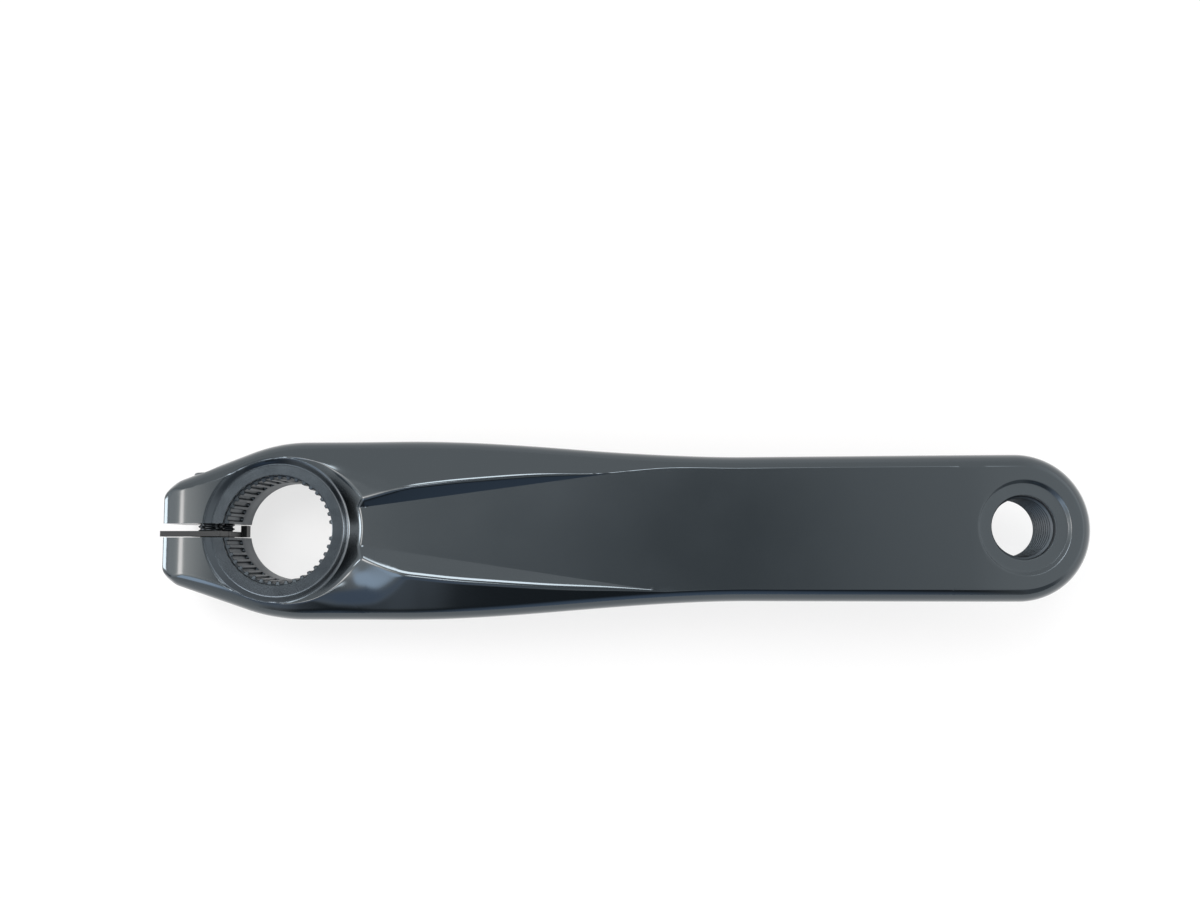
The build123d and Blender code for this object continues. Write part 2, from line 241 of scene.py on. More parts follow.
class ClampBoltSizes(PropertyGroup):
    """Sizes of the two clamp bolts, their washers and holes."""

    bolt_x: length("Bolt line", -17.7, "Place of both bolts along the arm")
    outer_bolt_z: length("Outer bolt height", 13.5, "Height of the bolt that enters from above")
    inner_bolt_z: length("Inner bolt height", 5.5, "Height of the bolt that enters from below")
    bolt_r: length("Bolt radius", 3.0, "Half of the nominal thread diameter")
    bolt_pitch: length("Bolt pitch", 1.0, "Thread pitch")
    bolt_thread_depth: length("Bolt thread depth", 0.5, "Depth of the thread")
    bolt_length: length("Bolt length", 19.0, "Under the head")
    head_r: length("Head radius", 4.25, "Radius of the socket head")
    head_height: length("Head height", 4.6, "Height of the socket head")
    socket_width: length("Socket width", 5.0, "Hexagon across flats")
    socket_depth: length("Socket depth", 3.0, "Depth of the hexagon")
    seat_y: length("Seat", 8.5, "Floor of the counterbore from the arm's middle")
    washer_thickness: length("Washer thickness", 0.8, "Plain washer under the head")
    washer_hole_r: length("Washer hole radius", 3.1, "Hole of that washer")
    shank_hole_r: length("Shank hole radius", 3.25, "Clearance hole in the head's jaw")
    tapped_hole_r: length("Tapped hole radius", 3.04, "Hole in the other jaw")
    counterbore_r: length("Counterbore radius", 4.6, "Room for the head")


class FinishColours(PropertyGroup):
    """Colours of the finishes and the stage."""

    arm_grey: colour("Arm grey", "#50565a", "Gunmetal anodising of the forged faces")
    turned_grey: colour("Turned grey", "#454b50", "Anodising over turned and milled faces")
    plate_black: colour("Plate black", "#1c1f21", "Black lacquer of the stopper plate")
    bolt_steel: colour("Bolt steel", "#5b6064", "Dark plated steel of bolts and washers")
    floor_white: colour("Floor white", "#f7f7f7", "Paper under the part")
    room: colour("Room", "#ffffff", "Even light of the studio")
    backdrop_white: colour("Backdrop white", "#ffffff", "What the eye sees around the paper")


def sizes(*groups):
    """All properties of the groups in one place, lengths in millimetres."""
    found = SimpleNamespace()
    for group in groups:
        for prop in group.bl_rna.properties:
            if prop.identifier in {"rna_type", "name"}:
                continue
            value = getattr(group, prop.identifier)
            setattr(found, prop.identifier, value / MM if getattr(prop, "unit", "") == "LENGTH" else value)
    return found


def smooth_min(a, b, k):
    """Lower of two heights; where they differ by less than k, the edge is rounded by a parabola."""
    h = np.clip(0.5 + 0.5 * (b - a) / k, 0.0, 1.0)
    return b + (a - b) * h - k * h * (1.0 - h)


def smooth_max(a, b, k):
    """Higher of two heights, rounded in the same way."""
    return -smooth_min(-a, -b, k)


def ease(x, start, end):
    """Smooth step from 0 at start to 1 at end."""
    t = np.clip((x - start) / (end - start), 0.0, 1.0)
    return t * t * (3.0 - 2.0 * t)


def stretch(x, start, full, fade, end):
    """1 between full and fade, eased to 0 at start and end."""
    return ease(x, start, full) * (1.0 - ease(x, fade, end))


def curve(x, knots):
    """Cubic Hermite curve through (x, value) knots, with central differences as its slopes there, and
    straight beyond its ends."""
    kx, kv = np.array(knots).T
    slope = np.gradient(kv, kx)
    i = np.clip(np.searchsorted(kx, x) - 1, 0, len(kx) - 2)
    h = kx[i + 1] - kx[i]
    t = np.clip((x - kx[i]) / h, 0.0, 1.0)
    inside = (
        kv[i] * (1 + 2 * t) * (1 - t) ** 2
        + h * slope[i] * t * (1 - t) ** 2
        + kv[i + 1] * t**2 * (3 - 2 * t)
        + h * slope[i + 1] * t**2 * (t - 1)
    )
    return inside + slope[0] * np.minimum(x - kx[0], 0.0) + slope[-1] * np.maximum(x - kx[-1], 0.0)


def by_side(y, pair):
    """The first of a pair on the upper side of the arm, the second on the lower side."""
    return np.where(y > 0.0, *pair)


def rays(plan, center):
    """Lengths and unit directions of the rays from a centre to the points of a plan line."""
    offset = plan - center
    out = np.linalg.norm(offset, axis=1)
    return out, offset / out[:, None]


def steps(count, crowd=0.0):
    """Count + 1 fractions from 0 to 1; crowd up to 1 draws them together at both ends."""
    t = np.linspace(0.0, 1.0, count + 1)
    return t - crowd * np.sin(2 * pi * t) / (2 * pi)


def runs(stops, counts, crowd):
    """Rows between successive stops, each stop an array over the rays; returns an array of rows by rays."""
    rows = [stops[0][None]]
    for low, high, count in zip(stops, stops[1:], counts):
        rows.append(low + (high - low) * steps(count, crowd)[1:, None])
    return np.concatenate(rows)


def grid_faces(rows, columns, closed):
    """Quads of a grid of rows by columns, closed round the columns or open."""
    index = np.arange(rows * columns).reshape(rows, columns)
    if closed:
        index = np.concatenate([index, index[:, :1]], axis=1)
    return np.stack([index[:-1, :-1], index[:-1, 1:], index[1:, 1:], index[1:, :-1]], axis=-1).reshape(-1, 4)


def patch(points, closed=False, material=0):
    """A grid of points, rows by columns by three, as vertices, faces and a material number."""
    rows, columns = points.shape[:2]
    return points.reshape(-1, 3), grid_faces(rows, columns, closed), material


def zipped(outer, inner, center, material=0):
    """Strip of triangles between two rings round a centre: their points are taken in order of angle, and
    each one closes a triangle with the last point of its own ring and the last of the other."""
    rings = []
    angles = []
    for ring in (outer, inner):
        turn = np.arctan2(ring[:, 1] - center[1], ring[:, 0] - center[0])
        order = np.argsort(turn)
        rings.append(ring[order])
        angles.append(turn[order])
    n, m = len(outer), len(inner)
    is_outer = np.argsort(np.concatenate(angles), kind="stable") < n
    o = np.cumsum(is_outer) - 1
    i = np.cumsum(~is_outer) - 1
    from_outer = np.stack([(o - 1) % n, o % n, n + i % m], axis=-1)[is_outer]
    from_inner = np.stack([n + i % m, n + (i - 1) % m, o % n], axis=-1)[~is_outer]
    return np.concatenate(rings), np.concatenate([from_outer, from_inner]), material


def welded(name, patches, sharp=None):
    """Mesh object of the patches, in metres, with doubles merged, faces turned outwards and smooth shading;
    edges that bend by more than the sharp angle stay hard."""
    points = np.concatenate([p for p, _, _ in patches]) * MM
    starts = np.cumsum([0] + [len(p) for p, _, _ in patches])
    faces = [row for (_, f, _), start in zip(patches, starts) for row in (f + start).tolist()]
    mesh = bpy.data.meshes.new(name)
    mesh.from_pydata(points.tolist(), [], faces)
    mesh.polygons.foreach_set("material_index", np.concatenate([np.full(len(f), m) for _, f, m in patches]))
    work = bmesh.new()
    work.from_mesh(mesh)
    bmesh.ops.remove_doubles(work, verts=work.verts, dist=WELD)
    bmesh.ops.dissolve_degenerate(work, edges=work.edges, dist=WELD)
    bmesh.ops.recalc_face_normals(work, faces=work.faces)
    work.to_mesh(mesh)
    work.free()
    finish_shading(mesh, sharp)
    piece = bpy.data.objects.new(name, mesh)
    bpy.context.scene.collection.objects.link(piece)
    return piece


def finish_shading(mesh, sharp):
    """Smooth shading with hard edges over the sharp angle."""
    mesh.polygons.foreach_set("use_smooth", np.ones(len(mesh.polygons), dtype=bool))
    if sharp is not None:
        mesh.set_sharp_from_angle(angle=radians(sharp))
    mesh.update()


def side_turn(s, x):
    """Angle of the side in plan: none on the arm, growing over the boss round to the jaw taper."""
    return np.arcsin(np.clip((s.boss_round_x - x) / s.boss_round_r, 0.0, sin(s.jaw_taper)))


def side_line(s, x):
    """Half width in plan: the jaw taper, the boss round, an even stretch, then eased down to the shank."""
    jaw = np.maximum(s.boss_round_x - s.boss_round_r * sin(s.jaw_taper) - x, 0.0) * tan(s.jaw_taper)
    boss = s.boss_half_width - s.boss_round_r * (1.0 - np.cos(side_turn(s, x))) - jaw
    return boss + (s.eye_half_width - s.boss_half_width) * ease(x, s.neck_start_x, s.neck_end_x)


def jaw_shift(s, x):
    """Sideways offset of the jaws, growing evenly from the spindle axis."""
    return s.jaw_shift_y * np.maximum(-x / s.jaw_shift_run, 0.0)


def side_depth(s, x, y):
    """Distance in from the side, square to it."""
    return (side_line(s, x) - np.abs(y - jaw_shift(s, x))) * np.cos(side_turn(s, x))


def panel_slope(s):
    """Rise of the straight panel along the arm."""
    return (s.panel_eye_z - s.panel_root_z) / (s.crank_length - s.panel_root_x)


def panel_line(s, x):
    """Level of the outer face on the centre line: the pads, which curve down a little towards the jaw end,
    a curved root, then the straight panel."""
    ahead = 10.0
    knots = [(place, s.pad_z + rise) for place, rise in ROOT_RISE]
    knots.append((s.panel_root_x, s.panel_root_z))
    knots.append((s.panel_root_x + ahead, s.panel_root_z + ahead * panel_slope(s)))
    return curve(x, knots) - PAD_FALL * np.maximum(PAD_FALL_X - x, 0.0) ** 2


def eye_drop(s, x):
    """Drop of the outer face below the panel's line towards the round end: it grows with the square of the
    distance, so that the face ends level."""
    return EYE_FALL * np.maximum(x - s.eye_bend_x, 0.0) ** 2


def shoulder_line(s, x, y):
    """Level at which the flank's plane would meet the side: even at the boss, then rising to the shank. On
    the upper side it dips where the wing runs out, by a bell curve."""
    fall = tan(s.flank_angle)
    jaw = s.pad_z - s.pad_inset * fall
    neck = panel_line(s, s.neck_end_x) - s.flank_inset * fall
    eye = panel_line(s, s.crank_length) - s.flank_inset * fall
    knots = [(place, jaw + rise) for place, rise in SHOULDER_RISE]
    knots.append((BEFORE_NECK_X, neck - BEFORE_NECK_DROP))
    knots += [(s.neck_end_x, neck), (s.crank_length, eye)]
    dip = WING_END_DIP * np.exp(-(((x - WING_END_X) / WING_END_REACH) ** 2))
    return curve(x, knots) - eye_drop(s, x) - dip * (y > 0.0)


def panel_edge(s, x, y):
    """Half width of the recessed panel on the side of y: straight lines that open towards the pedal."""
    run = np.maximum(x - s.panel_root_x, 0.0)
    return by_side(y, (s.upper_root_y, s.lower_root_y)) + by_side(y, PANEL_SPREAD) * run


def arc_foot(s, level, radius):
    """Where the shoulder arc starts, in from the side, and the height at which it ends upright."""
    start = radius * (1.0 - sin(s.flank_angle))
    return start, level + start * tan(s.flank_angle) - radius * cos(s.flank_angle)


def crown(s, d, level, radius):
    """Height over a flank at distance d in from the side: a plane, then a tangent arc to upright."""
    start, foot = arc_foot(s, level, radius)
    arc = foot + np.sqrt(np.maximum(radius**2 - (radius - np.clip(d, 0.0, start)) ** 2, 0.0))
    return np.where(d > start, level + d * tan(s.flank_angle), arc)


def wing_wall(s, x, y):
    """Rise of a wing's wall above the panel, from the panel's edge outwards: steep on the upper side."""
    return by_side(y, WALL_SLOPE) * (np.abs(y) - panel_edge(s, x, y))


def wing_cap(s, x, y):
    """Height above the panel of the face that caps a wing's nose: it falls outwards and back into the
    saddle, where it levels out; on the boss there is no wing."""
    run = smooth_max(x - s.panel_root_x, -CAP_REACH, CAP_ROUND)
    out = smooth_min(np.abs(y) - CAP_START_Y, CAP_REACH, CAP_ROUND)
    nose = by_side(y, (s.upper_nose, s.lower_nose))
    cap = nose + by_side(y, CAP_RISE) * run - by_side(y, CAP_FALL) * out
    return by_side(y, (cap, smooth_max(cap, LOWER_SADDLE, LOWER_SADDLE_ROUND))) * ease(x, *WING_FADE)


def top_height(s, x, y, flank):
    """Outer face: the lowest of the flank, the panel with its wing walls and the wings' caps. The flank's
    edge is rounded most in the saddle beside the boss, above all on the lower side, then along the crests
    and on the lower pad, and hardly on the upper pad and the shank."""
    saddle = stretch(x, *SADDLE_PLACES)
    crest = by_side(y, [stretch(x, *places) for places in CREST_PLACES])
    pad = by_side(y, PAD_ROUND) * (1.0 - ease(x, *PAD_FADE))
    blend = pad + ARM_ROUND * ease(x, *ARM_FADE) - (ARM_ROUND - SHANK_ROUND) * ease(x, *SHANK_FADE)
    blend = blend + CREST_ROUND * crest + by_side(y, SADDLE_ROUND) * saddle
    ridge = RIDGE_ROUND * ease(x, *RIDGE_FADE) + 1e-6
    wing = smooth_min(np.maximum(wing_wall(s, x, y), 0.0), wing_cap(s, x, y), ridge)
    return smooth_min(flank, panel_line(s, x) - eye_drop(s, x) + wing, blend)


def jaw_end_height(s, x):
    """Bevel at the jaw end: it leaves the pad at a small angle and steepens with the cube of the distance
    until it falls as the flanks do."""
    u = s.jaw_end_x + s.jaw_end_inset - x
    steepen = (tan(s.flank_angle) - tan(s.jaw_end_slope)) / s.jaw_end_inset**3
    edge = panel_line(s, s.jaw_end_x + s.jaw_end_inset)
    return edge - tan(s.jaw_end_slope) * u - steepen * np.maximum(u, 0.0) ** 4 / 4.0


def seat_height(s, r):
    """Milled seat: the land, a cone up to the ledge and the conical pocket wall, with small rounds."""
    edge = (s.pad_z - s.land_z) / (s.ledge_inner_r - s.land_r)

    def ramp(start, k):
        return smooth_max(r - start, 0.0 * r, k)

    rise = edge * (ramp(s.land_r, SEAT_ROUND) - ramp(s.ledge_inner_r, LEDGE_ROUND))
    return s.land_z + rise + tan(s.pocket_angle) * ramp(s.ledge_outer_r, SEAT_ROUND)


def back_level(s, x):
    """Level of the back: flat at the boss, eased up until the arm has its even thickness."""
    rise = ease(x, s.back_bend_start_x, s.back_bend_end_x)
    return s.back_boss_z + (panel_line(s, x) - s.arm_thickness - s.back_boss_z) * rise


def leaned(s, x, y, z, share=1.0):
    """Points of upright sections, leaned about the panel until, further out, they stand square to it."""
    lean = atan(panel_slope(s)) * ease(x, s.join_x, s.lean_end_x) * share
    level = panel_line(s, x)
    x, y, z, lean, level = np.broadcast_arrays(x, y, z, lean, level)
    return np.stack([x - (z - level) * np.sin(lean), y, level + (z - level) * np.cos(lean)], axis=-1)


def rim_depth(radius):
    """Distance in from the side at which the top grids hand over to the side strip, on the shoulder arc."""
    return radius * (1.0 - sin(RIM_ANGLE))


def side_strip(s, place, normal, level, radius, corner):
    """Side along a plan line: the end of the shoulder arc, the upright side and the back corner."""
    x, y = place.T
    _, foot = arc_foot(s, level, radius)
    back = back_level(s, x)
    turn = np.linspace(RIM_ANGLE, pi / 2, 6)[:, None]
    down = steps(6, 0.6)[1:-1, None]
    under = np.linspace(0.0, pi / 2, 8)[:, None]
    flat = 0.0 * x
    inward = np.concatenate(
        [radius * (1 - np.sin(turn)) + flat, down * flat, corner * (1 - np.cos(under)) + flat]
    )
    height = np.concatenate(
        [
            foot + radius * np.cos(turn),
            foot + (back + corner - foot) * down,
            back + corner * (1 - np.sin(under)),
        ]
    )
    sections = leaned(s, x + 0 * inward, 0 * inward, height)
    sections[..., 0] -= normal[:, 0] * inward
    sections[..., 1] = y - normal[:, 1] * inward
    return sections


def jaw_outline(s):
    """Plan line from the upper boss join round the clamp jaws to the lower one, with outward normals: the
    side line, a quarter round and the flat end, spaced evenly along the line."""
    x = s.jaw_end_x + (s.join_x - s.jaw_end_x) * np.linspace(1.0, 0.0, 1500) ** 2
    reach = np.maximum(s.jaw_corner_r - (x - s.jaw_end_x), 0.0)
    corner = s.jaw_corner_r - np.sqrt(s.jaw_corner_r**2 - reach**2)
    jaw = np.stack([x, side_line(s, x) - corner], axis=1)
    end = np.stack([np.full(120, s.jaw_end_x), jaw[-1, 1] * np.linspace(1.0, 0.0, 121)[1:]], axis=1)
    half = np.concatenate([jaw, end])
    line = np.concatenate([half, half[-2::-1] * [1, -1]])
    line[:, 1] += jaw_shift(s, line[:, 0])
    along = np.concatenate([[0.0], np.cumsum(np.hypot(*np.diff(line, axis=0).T))])
    at = np.linspace(0.0, along[-1], 251)
    place = np.stack([np.interp(at, along, line[:, 0]), np.interp(at, along, line[:, 1])], axis=1)
    ahead = np.gradient(place, axis=0)
    normal = np.stack([ahead[:, 1], -ahead[:, 0]], axis=1)
    normal /= np.linalg.norm(normal, axis=1, keepdims=True)
    normal[[0, -1]] = [[0, 1], [0, -1]]
    return place, normal


def wing_lines(s, x, sign):
    """Distances from the centre line of a wing's ridge and crest: where, going outwards, its wall first
    rises above its cap, and where the wing first rises above the flank's plane."""
    trial = np.linspace(s.lower_root_y, s.boss_half_width, 2400)
    y = sign * trial[:, None] + 0 * x
    wall, cap = wing_wall(s, x, y), wing_cap(s, x, y)
    flank = shoulder_line(s, x, y) + (side_line(s, x) - trial[:, None]) * tan(s.flank_angle)
    last = (trial == trial[-1])[:, None]
    ridge = trial[np.argmax((wall > cap) | last, axis=0)]
    wing = np.minimum(np.maximum(wall, 0.0), cap)
    crest = trial[np.argmax((flank < panel_line(s, x) + wing) | last, axis=0)]
    return ridge, crest


def station_lines(s, x, sign):
    """Distances of the arm grid's long lines from the centre line at each station, on one side: to the
    panel's edge, over the wing's ridge and crest, then over the flank and the shoulder arc to the rim."""
    side = side_line(s, x)
    arc = side - arc_foot(s, 0.0, s.shoulder_r)[0]
    ridge, crest = wing_lines(s, x, sign)
    # Each line keeps a distance from the next one, or a share of the room where there is less.
    crest = np.minimum(crest, arc - 0.3)
    edge = np.minimum(panel_edge(s, x, sign), crest - 0.15)
    before = crest - np.minimum(0.9, 0.4 * (crest - edge))
    beyond = crest + np.minimum(1.2, 0.45 * (arc - crest))
    ridge = np.minimum(ridge, edge + 0.75 * (before - edge))
    stops = [0 * x, edge, ridge, before, beyond, arc, side - rim_depth(s.shoulder_r)]
    return runs(stops, (10, 9, 9, 14, 12, 7), 0.3).T


def shank_grids(s):
    """Outer face, back and both sides of the arm between the two joins, on the same stations along it, and
    the distances of the last station's points from the centre line."""
    near = s.join_x + 14.0 * steps(30)
    far = near[-1] + (s.eye_join_x - near[-1]) * steps(110)[1:]
    x = np.concatenate([near, far])
    y = np.concatenate([-station_lines(s, x, -1.0)[:, :0:-1], station_lines(s, x, 1.0)], axis=1)
    column = x[:, None]
    side = side_line(s, x)
    flank = crown(s, side[:, None] - np.abs(y), shoulder_line(s, column, y), s.shoulder_r)
    top = leaned(s, column, y, top_height(s, column, y, flank))
    across = np.linspace(-1.0, 1.0, 25)
    back = leaned(s, column, across * (side[:, None] - s.back_corner_r), back_level(s, column) + 0 * across)
    strips = []
    for sign, edge in ((1.0, -1), (-1.0, 0)):
        place = np.stack([x, sign * side], axis=1)
        normal = np.tile([0.0, sign], (len(x), 1))
        level = shoulder_line(s, x, sign * side)
        strip = side_strip(s, place, normal, level, s.shoulder_r, s.back_corner_r)
        top[:, edge] = strip[0]
        back[:, edge] = strip[-1]
        strips.append(strip)
    return top, back, strips, y[-1]


def jaw_strip(s):
    """Side strip round the clamp jaws, and along it the plan normals and the flank's level, shoulder
    radius and inset, which turn into those of the end bevel where the outline turns to the end face."""
    place, normal = jaw_outline(s)
    turn = np.arctan2(-normal[:, 0], np.abs(normal[:, 1]))
    to_end = ease(turn, radians(35.0), radians(85.0))
    inset = s.pad_inset + (s.jaw_end_inset - s.pad_inset) * to_end
    radius = s.shoulder_r + (s.jaw_edge_r - s.shoulder_r) * to_end
    side = shoulder_line(s, *place.T)
    level = side + (jaw_end_height(s, s.jaw_end_x) - side) * to_end
    corner = s.back_corner_r - (s.back_corner_r - 0.8 * s.jaw_corner_r) * ease(-place[:, 0], 12.0, 24.0)
    return side_strip(s, place, normal, level, radius, corner), normal, level, radius, inset


def eye_strip(s):
    """Side strip round the pedal end, a half circle between straight runs, and the plan line of its rim."""
    width = s.eye_half_width
    center_x = s.crank_length - s.eye_setback
    straight = s.eye_join_x + (center_x - s.eye_join_x) * steps(13)[:-1]
    turn = np.linspace(-pi / 2, pi / 2, 61)
    place = np.concatenate(
        [
            np.stack([straight, np.full(len(straight), -width)], axis=1),
            np.stack([center_x + width * np.cos(turn), width * np.sin(turn)], axis=1),
            np.stack([straight[::-1], np.full(len(straight), width)], axis=1),
        ]
    )
    spine = np.stack([np.minimum(place[:, 0], center_x), 0 * place[:, 0]], axis=1)
    normal = (place - spine) / width
    strip = side_strip(s, place, normal, shoulder_line(s, *place.T), s.shoulder_r, s.back_corner_r)
    return strip, place - normal * rim_depth(s.shoulder_r)


def arm_patches(s):
    """All grids of the closed arm before the slot and the bolt holes are cut."""
    boss = np.zeros(2)
    eye = np.array([s.crank_length, 0.0])
    top, back, strips, last_y = shank_grids(s)
    jaws, *jaw_lines = jaw_strip(s)
    eye_side, eye_rim = eye_strip(s)
    join = np.stack([0 * last_y + s.eye_join_x, last_y], axis=1)
    eye_plan = np.concatenate([eye_rim, join[-2:0:-1]])
    boss_top = boss_top_grid(s, boss, top[0], jaws[0], *jaw_lines)
    boss_back = boss_back_grid(s, boss, np.concatenate([back[0], jaws[-1, 1:-1]]))
    eye_top = eye_top_grid(s, eye, eye_plan, np.concatenate([eye_side[0], top[-1, -2:0:-1]]))
    eye_back = eye_back_grid(s, eye, np.concatenate([eye_side[-1], back[-1, -2:0:-1]]))
    bore = bore_wall(s)
    pedal = pedal_wall(s)
    # The turned finish ends just before the pocket wall's foot, and at the lip of the pedal face.
    seat_end = sum(BOSS_ROWS[:3]) - 1
    face_end = sum(EYE_ROWS[:2])
    return [
        *[patch(grid) for grid in (top, back, *strips, jaws, eye_side)],
        patch(boss_top[: seat_end + 1], True, TURNED_BOSS),
        patch(boss_top[seat_end:], True),
        patch(boss_back, True, TURNED_BOSS),
        patch(eye_top[: face_end + 1], True, TURNED_EYE),
        patch(eye_top[face_end:], True),
        patch(eye_back, True, TURNED_EYE),
        patch(bore, True, BROACHED),
        patch(pedal, False, BROACHED),
        zipped(boss_top[0], bore[0], boss, TURNED_BOSS),
        zipped(boss_back[0], bore[-1], boss, TURNED_BOSS),
        zipped(eye_top[0], pedal[0, :-1], eye, TURNED_EYE),
        zipped(eye_back[0], pedal[-1, :-1], eye, TURNED_EYE),
    ]


def boss_top_grid(s, center, join, rim, normal, level, radius, inset):
    """Outer face around the bore on rays from the spindle axis: the milled seat, the pocket wall up to its
    rim, the pad with its crease or the flank, out to the boss join and the jaws' shoulder arc."""
    ring = np.concatenate([join, rim[1:-1]])
    out, ray = rays(ring[:, :2], center)
    is_jaw = np.arange(len(ring)) >= len(join)
    lead = np.zeros(len(join))
    along_normal = np.concatenate([lead + 1.0, np.sum(ray[is_jaw] * normal[1:-1], axis=1)])
    jaw_lines = [np.concatenate([lead, line[1:-1]]) for line in (level, radius, inset)]
    ray_level, ray_radius, ray_inset = jaw_lines

    def arm(r):
        """Outer face without the seat; near the rim of the jaws it follows their own flank."""
        x, y = r * ray[:, 0], r * ray[:, 1]
        flank = crown(s, side_depth(s, x, y), shoulder_line(s, x, y), s.shoulder_r)
        middle = smooth_min(top_height(s, x, y, flank), jaw_end_height(s, x), BEVEL_ROUND)
        depth = rim_depth(ray_radius) + (out - r) * along_normal
        edge = crown(s, depth, ray_level, ray_radius)
        return np.where(is_jaw, edge + (middle - edge) * ease(depth, *JAW_BAND), middle)

    furthest, tries = 25.0, 600
    trial = np.linspace(s.ledge_outer_r, furthest, tries)[:, None] + 0 * out
    crossing = trial[np.argmax(seat_height(s, trial) >= arm(np.minimum(trial, out)), axis=0), 0]
    pocket = np.clip(crossing, s.ledge_outer_r + 0.35, out - 0.5)
    crease = np.where(is_jaw, out - (ray_inset - rim_depth(ray_radius)) / along_normal, 0.0)
    crease = np.maximum(crease, pocket + 0.4 * (out - pocket))
    rounds = (s.bore_entry_r + HOLE_GAP, s.land_r, s.ledge_inner_r, s.ledge_outer_r)
    stops = [round_r + 0 * out for round_r in rounds] + [pocket, crease, out]
    r = runs(stops, BOSS_ROWS, 0.75)
    height = smooth_min(arm(r), seat_height(s, r), POCKET_ROUND)
    points = np.stack([r * ray[:, 0], r * ray[:, 1], height], axis=-1)
    points[-1] = ring
    return points


def boss_back_grid(s, center, ring):
    """Back around the bore on rays: the raised bearing face, its step and the back out to the ring."""
    out, ray = rays(ring[:, :2], center)
    face = np.minimum(s.boss_face_r, out - 0.8)
    foot = np.minimum(face + 0.45, out - 0.3)
    r = runs([s.spindle_r + 0.6 + 0 * out, face - 0.15, foot, out], (4, 6, 8), 0.3)
    x = center[0] + r * ray[:, 0]
    step = smooth_max(3.0 * (r - face), 0.0 * r, 0.15)
    points = np.stack([x, center[1] + r * ray[:, 1], smooth_min(back_level(s, x), step, 0.2)], axis=-1)
    points[-1] = ring
    return points


def eye_top_grid(s, center, plan, ring):
    """Outer face around the pedal hole on rays from the pedal axis: the turned face, its conical wall up
    to the panel, the panel, then flank and shoulder arc out to the ring."""
    out, ray = rays(plan, center)
    bend = s.eye_half_width - s.flank_inset
    back = s.eye_setback
    edge = np.sqrt(bend**2 - (back * ray[:, 1]) ** 2) - back * ray[:, 0]
    edge = np.where(back + edge * ray[:, 0] > 0.0, edge, bend / np.maximum(np.abs(ray[:, 1]), 1e-6))
    wall = s.pedal_face_r + 0 * out
    x = center[0] + wall * ray[:, 0]
    rise = np.maximum(panel_line(s, x) - eye_drop(s, x) - s.pedal_face_z, 0.1)
    # The lip's row allows for the outer face's rise along the arm.
    face_rise = 0.05
    lip = wall + rise / (tan(s.pedal_wall_angle) - face_rise * ray[:, 0])
    # Where a ray ends before the panel's edge, the row that marks this edge stays within the ray.
    over = np.maximum(edge - (out - 0.4), 0.0)
    edge = np.where(over > 0.0, np.maximum(out - 0.4 - 0.5 * over, lip + 0.6 * (out - lip)), edge)
    hole = s.pedal_thread_r + s.pedal_chamfer + HOLE_GAP + 0 * out
    r = runs([hole, wall, lip, np.maximum(edge, lip + 0.4), out], EYE_ROWS, 0.6)
    x, y = center[0] + r * ray[:, 0], center[1] + r * ray[:, 1]
    depth = s.eye_half_width - np.hypot(np.maximum(x - center[0] + back, 0.0), y)
    spot = s.pedal_face_z + tan(s.pedal_wall_angle) * smooth_max(r - s.pedal_face_r, 0.0 * r, 0.1)
    flank = crown(s, depth, shoulder_line(s, x, y), s.shoulder_r)
    height = smooth_min(top_height(s, x, y, flank), spot, 0.1)
    points = leaned(s, x, y, height, ease(r, lip, lip + 1.5))
    points[-1] = ring
    return points


def eye_back_grid(s, center, ring):
    """Back around the pedal hole on rays: the turned seat, its wall and the back out to the ring."""
    out, ray = rays(ring[:, :2], center)
    wall = s.pedal_seat_r + 0 * out
    hole = s.pedal_thread_r + s.pedal_chamfer + HOLE_GAP + 0 * out
    r = runs([hole, wall - 0.05, wall + 0.4, out], (5, 6, 8), 0.4)
    x = center[0] + r * ray[:, 0]
    plane = panel_line(s, x) - s.arm_thickness / cos(atan(panel_slope(s)))
    seat = np.minimum(s.pedal_seat_z - 8.0 * (r - s.pedal_seat_r), s.pedal_seat_z)
    points = np.stack([x, center[1] + r * ray[:, 1], smooth_max(plane, seat, 0.1)], axis=-1)
    points[-1] = ring
    return points


def bore_wall(s):
    """Bore from the outer edge down: the plain entry, then grooves between the spline teeth, each a
    round-ended slot sunk into the smooth bore by its distance from the slot's edge, then the band and the
    inner chamfer. One tooth is left out towards the pedal."""
    pitch = 2 * pi / s.spline_teeth
    beside = np.array([0.0, 0.07, 0.15, 0.19, 0.23, 0.27, 0.31, 0.4])
    shares = np.concatenate([[-0.5], -beside[:0:-1], beside])
    turn = ((np.arange(s.spline_teeth)[:, None] + shares) * pitch).ravel()
    aside = np.tile(0.5 - np.abs(shares), s.spline_teeth) * pitch * s.spline_root_r
    aside[: len(shares)] = 0.0
    half = 0.5 * pitch * s.spline_root_r - 0.3
    top = s.land_z - s.bore_entry_depth
    foot = s.spline_start_z
    z = np.concatenate(
        [
            [s.land_z - 0.07, top + 0.05],
            top - 0.5 * steps(5),
            top - 0.5 + (foot + half + 0.5 - top) * steps(6)[1:],
            foot + half * (1.0 - steps(9)[1:]),
            [foot - 0.3],
            foot - 0.3 + (0.8 - foot) * steps(4)[1:],
            [0.46, 0.05],
        ]
    )[:, None]
    inside = half - np.hypot(aside, np.minimum(z - foot - half, 0.0))
    sunk = s.spline_tip_r + (s.spline_root_r - s.spline_tip_r) * ease(inside, 0.0, 0.3)
    open_top = ease(z, top - 0.5, top)
    grooved = sunk + (s.bore_entry_r - sunk) * open_top
    band = s.spindle_r + np.maximum(0.5 - z, 0.0) + 0 * grooved
    r = np.where(z > foot - 0.2, grooved, band)
    return np.stack([r * np.cos(turn), r * np.sin(turn), z + 0 * r], axis=-1)


